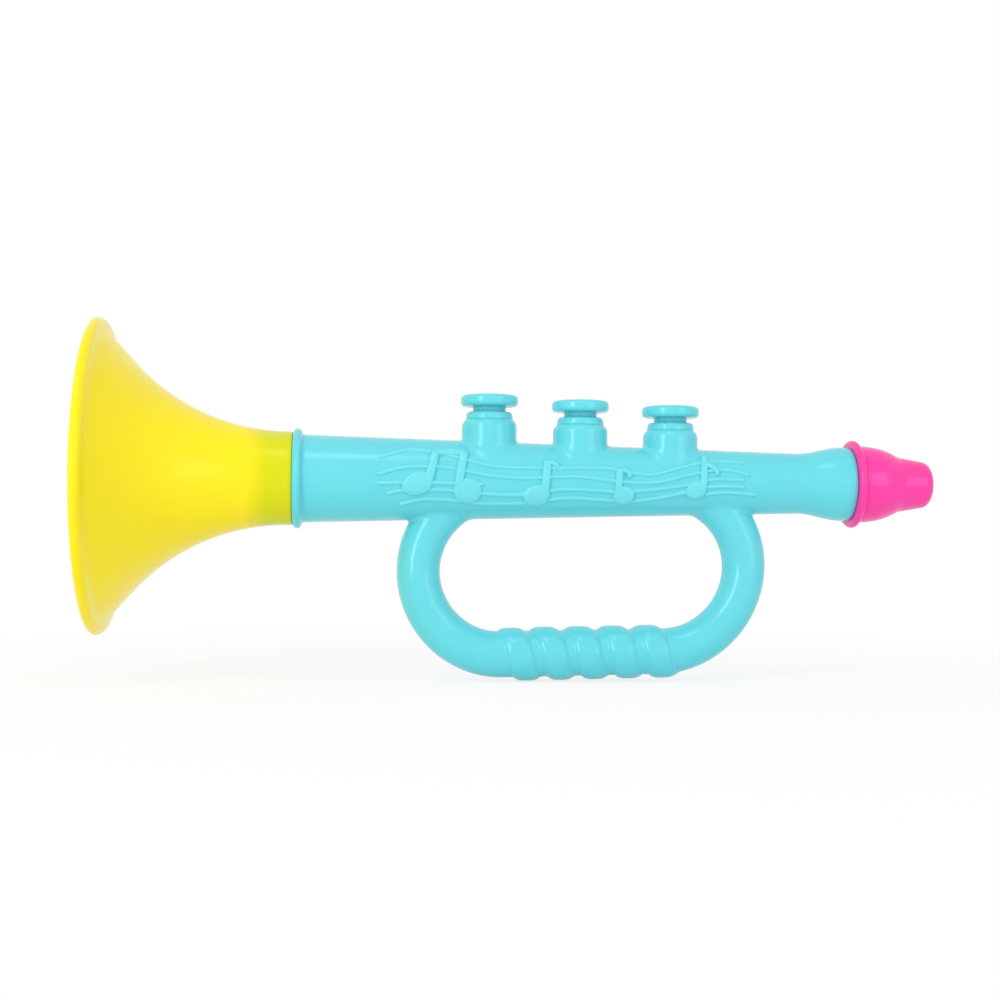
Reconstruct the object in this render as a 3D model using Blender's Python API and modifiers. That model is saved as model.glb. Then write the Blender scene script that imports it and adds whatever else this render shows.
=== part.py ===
"""Toy trumpet: a push-on bell, a two-shell body with a loop handle, three press valves
and a plug-in mouthpiece with a reed.  Metres, +Z up, bell towards -X, valves up."""

import math

import bmesh
import bpy

MM = 0.001

# Fits
FIT_GAP = 0.3 * MM
SEAM_GAP = 0.3 * MM

# Bell
BELL_LENGTH = 61.3 * MM
BELL_WALL = 2.0 * MM
FLARE_ANGLE = 48.0
FLARE_STRAIGHT = 1.3 * MM
LIP_RADIUS = 49.7 * MM
LIP_DEPTH = 3.6 * MM
LIP_FACE = 4.2 * MM
LIP_ROUND = 1.3 * MM

# Body tube
SPIGOT_RADIUS = 12.55 * MM
SPIGOT_LENGTH = 10.5 * MM
BEAD_RADIUS = 15.9 * MM
BEAD_WIDTH = 2.9 * MM
TUBE_FRONT_RADIUS = 13.95 * MM
WAIST_RADIUS = 9.8 * MM
WAIST_BACK = 16.9 * MM
REAR_FLARE_LENGTH = 15.0 * MM
REAR_RADIUS = 12.05 * MM
BODY_LENGTH = 180.2 * MM
SHELL_WALL = 1.8 * MM
SOCKET_DEPTH = 7.5 * MM
SOCKET_WALL = 1.9 * MM

# Loop handle and its twisted grip
HANDLE_DISTANCE = 92.9 * MM
HANDLE_DROP = 55.2 * MM
HANDLE_ROOT = 4.85 * MM
HANDLE_STRAIGHT = 53.0 * MM
BEND_SHARE = 0.478
HANDLE_TILT = 0.02
ARM_FLARE = 0.03
LEG_RADIUS = 6.9 * MM
ARM_RADIUS = 7.4 * MM
GRIP_CORE = 7.5 * MM
RIDGE_HEIGHT = 1.2 * MM
RIDGE_WIDTH = 9.4 * MM
RIDGE_POWER = 5.0
RIDGE_PITCH = 11.2 * MM
RIDGE_SHIFT = 1.6 * MM
RIDGE_TURNS = 4.5

# Valves, measured from the top of each collar
VALVE_DISTANCE = 62.4 * MM
VALVE_SPACING = 29.5 * MM
VALVE_HEIGHT = 21.9 * MM
VALVE_STEP = 1.4 * MM
VALVE_TRAVEL = 1.5 * MM
CAP_RADIUS = 9.2 * MM
CAP_HEIGHT = 4.1 * MM
CAP_ROUND = 1.3 * MM
CAP_CROWN = 0.5 * MM
HUB_RADIUS = 5.3 * MM
HUB_DEPTH = 0.6 * MM
STEM_RADIUS = 3.5 * MM
STEM_COVER = 1.8 * MM
COLLAR_RADIUS = 7.25 * MM
COLLAR_ROUND = 0.9 * MM
COLLAR_FLARE = 0.35 * MM
COLLAR_HEIGHT = 2.2 * MM
COLLAR_WALL = 1.1 * MM
COLLAR_GUIDE = 2.6 * MM
FOOT_HEIGHT = 1.2 * MM
SPRING_SEAT = 3.2 * MM
SPRING_LENGTH = 6.5 * MM
SPRING_TURNS = 4.0
SPRING_RADIUS = 4.5 * MM
WIRE_RADIUS = 0.35 * MM
CASING_WALL = 1.8 * MM
SHOULDER_HEIGHT = 2.2 * MM
SHOULDER_POWER = 2.0
WELL_FLOOR = 1.6 * MM

# Mouthpiece, from its flange towards the tip
FLANGE_RADIUS = 14.3 * MM
FLANGE_WIDTH = 2.5 * MM
DOME_RADIUS = 12.5 * MM
DOME_LENGTH = 13.7 * MM
DOME_POWER = 2.5
TIP_RADIUS = 9.1 * MM
TIP_LENGTH = 11.1 * MM
TIP_ROUND = 3.4 * MM
TIP_TAPER = 1.4 * MM
BLOW_RADIUS = 3.5 * MM
CHAMBER_RADIUS = 6.5 * MM
CHAMBER_LENGTH = 23.0 * MM

# Reed
BUSH_LENGTH = 7.0 * MM
BUSH_BORE = 3.6 * MM
SHALLOT_LENGTH = 18.5 * MM
CHANNEL_WIDTH = 3.0 * MM
CHANNEL_DEPTH = 2.0 * MM
TONGUE_WIDTH = 4.6 * MM
TONGUE_LENGTH = 17.0 * MM
TONGUE_THICKNESS = 0.3 * MM

# Facets round the pieces
BELL_SIDES = 40
TUBE_SIDES = 32
VALVE_SIDES = 20
REED_SIDES = 16
MOUTH_SIDES = 28
HANDLE_SIDES = 14
BEND_STEP = 10.0
GRIP_STEPS = 8

# Places that follow from the sizes: x runs along the tube from the mouth of the bell
BEAD_X = BELL_LENGTH + FIT_GAP
BODY_END_X = BEAD_X + BODY_LENGTH
WAIST_X = BODY_END_X - WAIST_BACK
VALVE_X = BEAD_X + VALVE_DISTANCE
HANDLE_X = BEAD_X + HANDLE_DISTANCE
HANDLE_BEND = HANDLE_DROP * BEND_SHARE
HANDLE_TURN = math.acos((HANDLE_BEND - HANDLE_DROP + HANDLE_ROOT) / HANDLE_BEND)
FLANGE_X = BODY_END_X + FIT_GAP
TIP_X = FLANGE_X + FLANGE_WIDTH + DOME_LENGTH + TIP_LENGTH
NECK_BORE = SPIGOT_RADIUS + FIT_GAP
NECK_RADIUS = NECK_BORE + BELL_WALL
FLARE_SLOPE = math.tan(math.radians(FLARE_ANGLE))
FLARE_RUN = BELL_LENGTH - FLARE_STRAIGHT - LIP_DEPTH
FLARE_RISE = LIP_RADIUS - LIP_FACE - NECK_RADIUS
FLARE_RADIUS = (FLARE_RUN - FLARE_RISE / FLARE_SLOPE) / math.tan(math.radians(FLARE_ANGLE) / 2)
SOCKET_RADIUS = REAR_RADIUS - SOCKET_WALL
SOCKET_X = BODY_END_X - SOCKET_DEPTH
PLUG_RADIUS = SOCKET_RADIUS - FIT_GAP
PLUG_X = SOCKET_X + FIT_GAP

# Valve levels, up from the top of the collar
CAP_LOW = VALVE_TRAVEL + FIT_GAP
CAP_TOP = CAP_LOW + CAP_HEIGHT
SOCKET_TOP = CAP_TOP - STEM_COVER
HUB_LOW = -HUB_DEPTH
COUNTER_LOW = HUB_LOW - VALVE_TRAVEL - FIT_GAP
CASING_TOP = -COLLAR_HEIGHT - FIT_GAP
SKIRT_LOW = COUNTER_LOW - COLLAR_GUIDE
FOOT_TOP = SKIRT_LOW - FIT_GAP
FOOT_LOW = FOOT_TOP - FOOT_HEIGHT
SPRING_TOP = FOOT_LOW - FIT_GAP
SPRING_LOW = SPRING_TOP - SPRING_LENGTH
WELL_LOW = SPRING_LOW - FIT_GAP
POST_LOW = WELL_LOW - WELL_FLOOR
COUNTER_RADIUS = HUB_RADIUS + FIT_GAP
SKIRT_RADIUS = COUNTER_RADIUS + COLLAR_WALL
WELL_RADIUS = SKIRT_RADIUS + FIT_GAP
FOOT_RADIUS = WELL_RADIUS - FIT_GAP
CASING_RADIUS = WELL_RADIUS + CASING_WALL

PLASTICS = {
    "bell_yellow": ((0.95, 0.78, 0.03), 0.25),
    "body_cyan": ((0.14, 0.70, 0.78), 0.25),
    "mouth_pink": ((0.97, 0.07, 0.40), 0.25),
    "reed_white": ((0.80, 0.80, 0.78), 0.40),
}
METALS = {
    "spring_steel": ((0.60, 0.60, 0.62), 0.30),
    "reed_brass": ((0.75, 0.55, 0.20), 0.30),
}


def collection(name):
    made = bpy.data.collections.new(name)
    bpy.context.scene.collection.children.link(made)
    return made


def clear_scene():
    for old in list(bpy.data.objects):
        bpy.data.objects.remove(old)
    for old in list(bpy.data.collections):
        bpy.data.collections.remove(old)


def material(name):
    colour, roughness = PLASTICS.get(name) or METALS[name]
    made = bpy.data.materials.get(name) or bpy.data.materials.new(name)
    made.use_nodes = True
    shader = made.node_tree.nodes["Principled BSDF"]
    shader.inputs["Base Color"].default_value = (*colour, 1.0)
    shader.inputs["Roughness"].default_value = roughness
    shader.inputs["Metallic"].default_value = 1.0 if name in METALS else 0.0
    made.diffuse_color = (*colour, 1.0)
    return made


def add(name, data):
    """A new object among the helpers, out of the render until it is named a piece."""
    made = bpy.data.objects.new(name, data)
    CUTTERS.objects.link(made)
    made.hide_render = True
    made.display_type = 'WIRE'
    return made


def evaluated_mesh(thing):
    bpy.context.view_layer.update()
    graph = bpy.context.evaluated_depsgraph_get()
    return bpy.data.meshes.new_from_object(thing.evaluated_get(graph))


def bake(thing):
    mesh = evaluated_mesh(thing)
    thing.modifiers.clear()
    thing.data = mesh


def piece(thing, name, plastic):
    """Moves a finished shape to the parts, with its name, material and smooth shading."""
    if thing.type == 'MESH':
        bake(thing)
        thing.data.shade_smooth()
        thing.data.set_sharp_from_angle(angle=math.radians(32))
    thing.name = name
    thing.data.name = name
    thing.data.materials.clear()
    thing.data.materials.append(material(plastic))
    CUTTERS.objects.unlink(thing)
    PARTS.objects.link(thing)
    thing.hide_render = False
    thing.display_type = 'TEXTURED'
    thing.parent = ROOT
    return thing


def turned(name, outline, sides, closed=False, half_facet=False):
    """A turned shape: (radius, height) points, from the top down the outer side."""
    spin = math.pi / sides if half_facet else 0.0
    out, side = math.cos(spin), math.sin(spin)
    points = [(radius * out, radius * side, height) for radius, height in outline]
    edges = [(i, i + 1) for i in range(len(points) - 1)]
    if closed:
        edges.append((len(points) - 1, 0))
    mesh = bpy.data.meshes.new(name)
    mesh.from_pydata(points, edges, [])
    made = add(name, mesh)
    screw = made.modifiers.new("turn", 'SCREW')
    screw.axis = 'Z'
    screw.angle = math.tau
    screw.steps = sides
    screw.render_steps = sides
    screw.use_merge_vertices = True
    screw.merge_threshold = 0.00001
    bake(made)
    return made


def along_tube(thing):
    """Lays a shape turned about Z along the tube, so that its heights become x."""
    thing.rotation_euler = (0.0, math.pi / 2, 0.0)
    return thing


def arc(radius, height, size, start, end, steps):
    """Points on a circle in the outline plane, angles in degrees from the outward side."""
    turns = [math.radians(start + (end - start) * i / steps) for i in range(steps + 1)]
    return [(radius + size * math.cos(t), height + size * math.sin(t)) for t in turns]


def swept(name, stations, sides):
    """A round bar through (x, y, z, radius) stations."""
    curve = bpy.data.curves.new(name, 'CURVE')
    curve.dimensions = '3D'
    curve.bevel_depth = MM
    curve.bevel_resolution = (sides - 4) // 2
    curve.use_fill_caps = True
    line = curve.splines.new('POLY')
    line.points.add(len(stations) - 1)
    for point, (x, y, z, radius) in zip(line.points, stations):
        point.co = (x, y, z, 1.0)
        point.radius = radius / MM
    return add(name, curve)


def as_mesh(bar):
    mesh = evaluated_mesh(bar)
    shape = bmesh.new()
    shape.from_mesh(mesh)
    bmesh.ops.remove_doubles(shape, verts=shape.verts, dist=1e-7)
    bmesh.ops.recalc_face_normals(shape, faces=shape.faces)
    shape.to_mesh(mesh)
    shape.free()
    name = bar.name
    bpy.data.objects.remove(bar)
    return add(name, mesh)


def box(name, low, high):
    mesh = bpy.data.meshes.new(name)
    shape = bmesh.new()
    bmesh.ops.create_cube(shape, size=1.0)
    for corner in shape.verts:
        for axis in range(3):
            corner.co[axis] = high[axis] if corner.co[axis] > 0 else low[axis]
    shape.to_mesh(mesh)
    shape.free()
    return add(name, mesh)


def tidy(mesh):
    """Welds what a cut leaves and splits its many-sided faces, at a scale with room for both."""
    shape = bmesh.new()
    shape.from_mesh(mesh)
    bmesh.ops.scale(shape, vec=(1 / MM, 1 / MM, 1 / MM), verts=shape.verts)
    bmesh.ops.remove_doubles(shape, verts=shape.verts, dist=0.002)
    shape.normal_update()
    many = [face for face in shape.faces if len(face.verts) > 4]
    bmesh.ops.triangulate(shape, faces=many)
    bmesh.ops.scale(shape, vec=(MM, MM, MM), verts=shape.verts)
    shape.to_mesh(mesh)
    shape.free()


def join(target, tool, how):
    """Unites the tool with the target, cuts it away or keeps what both share."""
    boolean = target.modifiers.new(how.lower(), 'BOOLEAN')
    boolean.solver = 'EXACT'
    boolean.operation = how
    boolean.object = tool
    bake(target)
    tidy(target.data)
    return target


def copy_of(thing, name):
    made = add(name, thing.data.copy())
    made.matrix_world = thing.matrix_world
    return made


def flare_line(offset, steps, reach):
    """The bell's flare, moved inwards by the offset: an arc from the neck, then a cone to the lip."""
    start = BELL_LENGTH - FLARE_STRAIGHT
    centre = NECK_RADIUS + FLARE_RADIUS
    size = FLARE_RADIUS + offset
    end = min(FLARE_ANGLE, math.degrees(math.acos((centre - reach) / size)))
    line = arc(centre, start, size, 180.0, 180.0 + end, steps)
    radius, x = line[-1]
    if reach - radius > FIT_GAP:
        line.append((reach, x - (reach - radius) / FLARE_SLOPE))
    return line


def make_bell():
    lip_root = LIP_RADIUS - LIP_FACE
    outer = [(NECK_RADIUS, BELL_LENGTH)]
    outer += flare_line(0.0, 9, lip_root)
    lip = arc(LIP_RADIUS - 2 * LIP_ROUND, LIP_DEPTH - 2 * LIP_ROUND, 2 * LIP_ROUND, 75, 0, 3)
    lip += arc(LIP_RADIUS - LIP_ROUND, LIP_ROUND, LIP_ROUND, 0, -90, 3)
    lip += [(lip_root, 0.0)]
    inner = flare_line(BELL_WALL, 9, lip_root)
    inner.reverse()
    inner += [(NECK_BORE, BELL_LENGTH)]
    bell = turned("bell", outer + lip + inner, BELL_SIDES, closed=True)
    piece(along_tube(bell), "bell", "bell_yellow")


def tube_line():
    """The outside of the body from its rear end to the front of the spigot."""
    line = [(0.0, BODY_END_X), (REAR_RADIUS, BODY_END_X)]
    steps = 6
    for i in range(steps + 1):
        share = 0.5 + 0.5 * math.cos(math.pi * i / steps)
        x = WAIST_X + REAR_FLARE_LENGTH * (1 - i / steps)
        line.append((WAIST_RADIUS + (REAR_RADIUS - WAIST_RADIUS) * share, x))
    half = BEAD_WIDTH / 2
    line.append((TUBE_FRONT_RADIUS, BEAD_X + BEAD_WIDTH))
    line += arc(BEAD_RADIUS - half, BEAD_X + half, half, 90, -90, 6)
    line.append((SPIGOT_RADIUS, BEAD_X))
    line.append((SPIGOT_RADIUS, BEAD_X - SPIGOT_LENGTH))
    line.append((0.0, BEAD_X - SPIGOT_LENGTH))
    return line


def bore_line():
    past = 5.0 * MM
    rear_bore = WAIST_RADIUS - SHELL_WALL
    front_bore = SPIGOT_RADIUS - SHELL_WALL
    return [
        (0.0, BODY_END_X + past),
        (SOCKET_RADIUS, BODY_END_X + past),
        (SOCKET_RADIUS, SOCKET_X),
        (rear_bore, SOCKET_X),
        (rear_bore, WAIST_X),
        (TUBE_FRONT_RADIUS - SHELL_WALL, BEAD_X + BEAD_WIDTH + SHELL_WALL),
        (front_bore, BEAD_X + BEAD_WIDTH - SHELL_WALL),
        (front_bore, BEAD_X - SPIGOT_LENGTH - past),
        (0.0, BEAD_X - SPIGOT_LENGTH - past),
    ]


def loop_place(run, up):
    """Point on the upright loop, by distance along its middle line and distance inwards."""
    half = HANDLE_STRAIGHT / 2
    turn = max(0.0, abs(run) - half) / HANDLE_BEND
    reach = min(abs(run), half) + (HANDLE_BEND - up) * math.sin(turn)
    return math.copysign(reach, run), (up - HANDLE_BEND) * math.cos(turn)


def loop_run(x, z):
    """The distance along the loop and inwards that loop_place takes for a point."""
    half = HANDLE_STRAIGHT / 2
    beyond = max(0.0, abs(x) - half)
    run = min(abs(x), half) + HANDLE_BEND * math.atan2(beyond, -z)
    return math.copysign(run, x), HANDLE_BEND - math.hypot(beyond, z)


def hang(loop):
    """Spreads the arms of an upright loop, tilts its bar and sets it under the tube."""
    spread = ARM_FLARE / (HANDLE_STRAIGHT / 2 + HANDLE_BEND)
    for point in loop.data.vertices:
        x, y, z = point.co
        tilted = HANDLE_BEND - HANDLE_DROP + z + HANDLE_TILT * x
        point.co = (HANDLE_X + x * (1.0 + spread * z), y, tilted)
    return loop


def handle_stations(inset, fine):
    """The loop from inside the tube, round under it and back, as stations of a bar."""
    half = HANDLE_STRAIGHT / 2
    quarter = HANDLE_BEND * math.pi / 2
    end = half + HANDLE_BEND * HANDLE_TURN
    grip = RIDGE_TURNS * RIDGE_PITCH / 2 + RIDGE_WIDTH / 2 + abs(RIDGE_SHIFT)
    runs = []
    count = round((end - grip) / (HANDLE_BEND * math.radians(BEND_STEP)))
    for i in range(count + 1):
        runs.append(-end + (end - grip) * i / count)
    if fine:
        count = round(2 * grip / RIDGE_PITCH * GRIP_STEPS)
        for i in range(1, count):
            runs.append(-grip + 2 * grip * i / count)
    runs += [-run for run in reversed(runs) if run <= -grip]
    stations = []
    for run in runs:
        swell = 1.0 - min(1.0, max(0.0, abs(run) - half) / quarter)
        radius = LEG_RADIUS + (ARM_RADIUS - LEG_RADIUS) * swell
        if fine and abs(run) < grip:
            radius = GRIP_CORE
        x, z = loop_place(run, 0.0)
        stations.append((x, 0.0, z, radius - inset))
    return stations


def ridge(run, turn):
    """Height of the winding ridge at a run along the grip and a share of a turn."""
    start = RIDGE_SHIFT - RIDGE_TURNS * RIDGE_PITCH / 2
    height = 0.0
    for wind in range(-1, math.ceil(RIDGE_TURNS) + 1):
        place = turn + wind
        if -0.1 <= place <= RIDGE_TURNS + 0.1:
            off = abs(run - start - RIDGE_PITCH * place) / (RIDGE_WIDTH / 2)
            height = max(height, RIDGE_HEIGHT * (1.0 - off ** RIDGE_POWER))
    return height


def make_handle():
    handle = as_mesh(swept("handle", handle_stations(0.0, True), HANDLE_SIDES))
    for point in handle.data.vertices:
        x, y, z = point.co
        run, up = loop_run(x, z)
        turn = (math.atan2(-y, up) / math.tau) % 1.0
        grow = 1.0 + ridge(run, turn) / GRIP_CORE
        x, z = loop_place(run, up * grow)
        point.co = (x, y * grow, z)
    return hang(handle)


def make_handle_bore():
    return hang(as_mesh(swept("handle_bore", handle_stations(SHELL_WALL, False), 8)))


def valve_place(i):
    return (VALVE_X + VALVE_SPACING * i, 0.0, VALVE_HEIGHT - VALVE_STEP * i)


def post_line():
    """Outline of a casing whose shoulder carries on from the collar over it."""
    start = COLLAR_RADIUS + COLLAR_FLARE
    line = [(0.0, CASING_TOP)]
    for i in range(5):
        share = i / 4
        swell = 1.0 - (1.0 - share) ** SHOULDER_POWER
        radius = start + (CASING_RADIUS - start) * swell
        line.append((radius, CASING_TOP - SHOULDER_HEIGHT * share))
    return line + [(CASING_RADIUS, POST_LOW), (0.0, POST_LOW)]


def well_line():
    top = CASING_TOP + CAP_HEIGHT
    return [(0.0, top), (WELL_RADIUS, top), (WELL_RADIUS, WELL_LOW), (0.0, WELL_LOW)]


def make_body():
    body = along_tube(turned("body", tube_line(), TUBE_SIDES))
    bore = along_tube(turned("bore", bore_line(), TUBE_SIDES, half_facet=True))
    handle = make_handle()
    stand = -min(point.co.z for point in handle.data.vertices)
    join(body, handle, 'UNION')
    join(bore, make_handle_bore(), 'UNION')
    join(body, bore, 'DIFFERENCE')
    for i in range(3):
        post = turned(f"post_{i + 1}", post_line(), VALVE_SIDES)
        post.location = valve_place(i)
        join(body, post, 'UNION')
    for i in range(3):
        well = turned(f"well_{i + 1}", well_line(), VALVE_SIDES, half_facet=True)
        well.location = valve_place(i)
        join(body, well, 'DIFFERENCE')
    far = TIP_X
    half = SEAM_GAP / 2
    for name, low, high in (
        ("body_left_shell", -half, far),
        ("body_right_shell", -far, half),
    ):
        other_side = box(name + "_cutter", (-far, low, -far), (2 * far, high, far))
        shell = join(copy_of(body, name), other_side, 'DIFFERENCE')
        piece(shell, name, "body_cyan")
    return stand


def button_line():
    edge = CAP_RADIUS - CAP_ROUND
    line = [(0.0, CAP_TOP), (0.55 * edge, CAP_TOP - 0.3 * CAP_CROWN)]
    line += arc(edge, CAP_TOP - CAP_CROWN - CAP_ROUND, CAP_ROUND, 80, 0, 3)
    line += arc(edge, CAP_LOW + CAP_ROUND, CAP_ROUND, 0, -80, 3)
    line += [(HUB_RADIUS, CAP_LOW), (HUB_RADIUS, HUB_LOW)]
    bore = STEM_RADIUS + FIT_GAP
    return line + [(bore, HUB_LOW), (bore, SOCKET_TOP), (0.0, SOCKET_TOP)]


def piston_line():
    top = SOCKET_TOP - FIT_GAP
    seat = FOOT_LOW - FOOT_HEIGHT
    return [
        (0.0, top),
        (STEM_RADIUS, top),
        (STEM_RADIUS, FOOT_TOP),
        (FOOT_RADIUS, FOOT_TOP),
        (FOOT_RADIUS, FOOT_LOW),
        (SPRING_SEAT, FOOT_LOW),
        (SPRING_SEAT, seat),
        (0.0, seat),
    ]


def collar_line():
    return arc(COLLAR_RADIUS - COLLAR_ROUND, -COLLAR_ROUND, COLLAR_ROUND, 90, 0, 2) + [
        (COLLAR_RADIUS + COLLAR_FLARE, -COLLAR_HEIGHT),
        (SKIRT_RADIUS, -COLLAR_HEIGHT),
        (SKIRT_RADIUS, SKIRT_LOW),
        (STEM_RADIUS + FIT_GAP, SKIRT_LOW),
        (STEM_RADIUS + FIT_GAP, COUNTER_LOW),
        (COUNTER_RADIUS, COUNTER_LOW),
        (COUNTER_RADIUS, 0.0),
    ]


def spring_stations():
    low = SPRING_LOW + WIRE_RADIUS
    rise = SPRING_LENGTH - 2 * WIRE_RADIUS
    count = round(8 * SPRING_TURNS)
    stations = []
    for i in range(count + 1):
        turn = math.tau * SPRING_TURNS * i / count
        x = SPRING_RADIUS * math.cos(turn)
        y = SPRING_RADIUS * math.sin(turn)
        stations.append((x, y, low + rise * i / count, WIRE_RADIUS))
    return stations


def least_gap(stations, apart):
    """Free space between parts of a wire that are more than this many stations apart."""
    places = [station[:3] for station in stations]
    nearest = min(
        math.dist(a, b)
        for i, a in enumerate(places)
        for b in places[i + apart:]
    )
    return nearest - 2 * WIRE_RADIUS


def make_valves():
    for i in range(3):
        place = valve_place(i)
        made = (
            (turned("button", button_line(), VALVE_SIDES), "valve_button", "body_cyan"),
            (turned("piston", piston_line(), VALVE_SIDES), "valve_piston", "reed_white"),
            (
                turned("collar", collar_line(), VALVE_SIDES, closed=True),
                "valve_collar",
                "body_cyan",
            ),
            (swept("spring", spring_stations(), 6), "valve_spring", "spring_steel"),
        )
        for thing, name, plastic in made:
            thing.location = place
            piece(thing, f"{name}_{i + 1}", plastic)
    gap = least_gap(spring_stations(), 5)
    print(f"least gap between turns of a valve spring: {gap / MM:.2f} mm")


def mouthpiece_line():
    half = FLANGE_WIDTH / 2
    dome_x = FLANGE_X + FLANGE_WIDTH
    mouth = TIP_RADIUS - TIP_TAPER
    line = [(BLOW_RADIUS, TIP_X)]
    line += arc(mouth - TIP_ROUND, TIP_X - TIP_ROUND, TIP_ROUND, 80, 0, 4)
    for i in range(7):
        share = 1 - i / 6
        radius = TIP_RADIUS + (DOME_RADIUS - TIP_RADIUS) * (1 - share ** DOME_POWER)
        line.append((radius, dome_x + DOME_LENGTH * share))
    line += arc(FLANGE_RADIUS - half, FLANGE_X + half, half, 80, -80, 5)
    line += [(PLUG_RADIUS, FLANGE_X), (PLUG_RADIUS, PLUG_X), (CHAMBER_RADIUS, PLUG_X)]
    shoulder = PLUG_X + CHAMBER_LENGTH
    return line + [(CHAMBER_RADIUS, shoulder), (BLOW_RADIUS, shoulder)]


def half_round(name, radius, low, high, level, upper):
    """A half-round bar along the tube, above or below a level."""
    line = [(0.0, high), (radius, high), (radius, low), (0.0, low)]
    bar = along_tube(turned(name, line, REED_SIDES))
    far = TIP_X
    bottom, top = (level, far) if upper else (-far, level)
    return join(bar, box(name + "_half", (-far, -far, bottom), (2 * far, far, top)), 'INTERSECT')


def make_mouthpiece():
    shell = turned("mouthpiece", mouthpiece_line(), MOUTH_SIDES, closed=True)
    piece(along_tube(shell), "mouthpiece", "mouth_pink")

    bush_x = PLUG_X + FIT_GAP
    bush_end = bush_x + BUSH_LENGTH
    bush_radius = CHAMBER_RADIUS - FIT_GAP
    line = [
        (bush_radius, bush_end),
        (bush_radius, bush_x),
        (BUSH_BORE, bush_x),
        (BUSH_BORE, bush_end),
    ]
    bush = along_tube(turned("bush", line, REED_SIDES, closed=True))
    piece(bush, "reed_bush", "reed_white")

    rod = BUSH_BORE - FIT_GAP
    face = -TONGUE_THICKNESS / 2 - FIT_GAP
    shallot = half_round("shallot", rod, bush_x, bush_x + SHALLOT_LENGTH, face, False)
    half = CHANNEL_WIDTH / 2
    channel_end = bush_x + SHALLOT_LENGTH - CHANNEL_WIDTH / 2
    channel = box(
        "channel",
        (bush_x - MM, -half, face - CHANNEL_DEPTH),
        (channel_end, half, face + MM),
    )
    piece(join(shallot, channel, 'DIFFERENCE'), "reed_shallot", "reed_white")

    wide = TONGUE_WIDTH / 2
    thick = TONGUE_THICKNESS / 2
    tongue = box("tongue", (bush_x, -wide, -thick), (bush_x + TONGUE_LENGTH, wide, thick))
    piece(tongue, "reed_tongue", "reed_brass")

    wedge = half_round("wedge", rod, bush_x, bush_end, thick + FIT_GAP, True)
    piece(wedge, "reed_wedge", "reed_white")


clear_scene()
PARTS = collection("toy_trumpet")
CUTTERS = collection("cutters")
ROOT = bpy.data.objects.new("toy_trumpet_origin", None)
PARTS.objects.link(ROOT)
make_bell()
axis_height = make_body()
make_valves()
make_mouthpiece()
ROOT.location = (-TIP_X / 2, 0.0, axis_height)
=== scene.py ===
"""Looks of the toy trumpet: moulded plastic skins, raised music staff, springs, light and camera.

Shapes are written in millimetres in the trumpet's own frame: x runs along the tube from the
mouth of the bell, y away from the viewer, z up from the middle line of the tube.
"""
import math

import bmesh
import bpy
import numpy as np
from mathutils import Matrix, Vector
from mathutils.geometry import tessellate_polygon


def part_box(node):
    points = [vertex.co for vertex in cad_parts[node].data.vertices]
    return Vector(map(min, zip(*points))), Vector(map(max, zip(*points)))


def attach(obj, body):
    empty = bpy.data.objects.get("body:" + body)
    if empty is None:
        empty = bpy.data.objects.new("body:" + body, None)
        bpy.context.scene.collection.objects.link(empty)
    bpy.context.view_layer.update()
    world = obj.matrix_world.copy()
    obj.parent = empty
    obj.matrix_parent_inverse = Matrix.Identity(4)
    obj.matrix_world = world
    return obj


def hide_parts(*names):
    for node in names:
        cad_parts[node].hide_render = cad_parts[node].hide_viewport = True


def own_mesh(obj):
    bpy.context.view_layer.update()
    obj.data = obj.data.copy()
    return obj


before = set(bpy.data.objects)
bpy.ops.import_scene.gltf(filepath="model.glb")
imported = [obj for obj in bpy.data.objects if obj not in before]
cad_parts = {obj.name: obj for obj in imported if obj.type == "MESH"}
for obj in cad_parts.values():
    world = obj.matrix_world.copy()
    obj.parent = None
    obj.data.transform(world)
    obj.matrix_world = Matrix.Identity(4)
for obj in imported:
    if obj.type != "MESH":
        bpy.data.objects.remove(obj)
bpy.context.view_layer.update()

BELL_LOW, BELL_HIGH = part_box("bell")
MOUTH_X = BELL_LOW.x
AXIS_Z = (BELL_LOW.z + BELL_HIGH.z) / 2

# Sizes in millimetres, as in the part's source. Four differ a little from the solids' here:
# RIDGE_WIDTH, RIDGE_POWER, CASING_TOP and SHOULDER_HEIGHT
FIT_GAP = 0.3
BELL_LENGTH, BELL_WALL, FLARE_ANGLE, FLARE_STRAIGHT = 61.3, 2.0, 48.0, 1.3
LIP_RADIUS, LIP_DEPTH, LIP_FACE, LIP_ROUND = 49.7, 3.6, 4.2, 1.3
SPIGOT_RADIUS, SPIGOT_LENGTH = 12.55, 10.5
NECK_BORE = SPIGOT_RADIUS + FIT_GAP
NECK_RADIUS = NECK_BORE + BELL_WALL
BEAD_X = BELL_LENGTH + FIT_GAP
BEAD_WIDTH, BEAD_RADIUS = 2.9, 15.9
SPIGOT_X = BEAD_X - SPIGOT_LENGTH
BODY_LENGTH, HANDLE_DISTANCE, VALVE_DISTANCE = 180.2, 92.9, 62.4
BODY_END = BEAD_X + BODY_LENGTH
TUBE_FRONT, WAIST_RADIUS, WAIST_BACK = 13.95, 9.8, 16.9
WAIST_X = BODY_END - WAIST_BACK
REAR_FLARE, REAR_RADIUS = 15.0, 12.05
SHELL_WALL, SOCKET_WALL, SOCKET_DEPTH = 1.8, 1.9, 7.5
SOCKET_RADIUS = REAR_RADIUS - SOCKET_WALL
SOCKET_X = BODY_END - SOCKET_DEPTH
HANDLE_X = BEAD_X + HANDLE_DISTANCE
HANDLE_DROP, HANDLE_BEND, HANDLE_HALF = 55.2, 26.386, 26.5
HANDLE_TILT, ARM_FLARE = 0.02, 0.03
LEG_RADIUS, ARM_RADIUS = 6.9, 7.4
RIDGE_HEIGHT, RIDGE_WIDTH, RIDGE_POWER = 1.2, 8.9, 3.6
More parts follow.
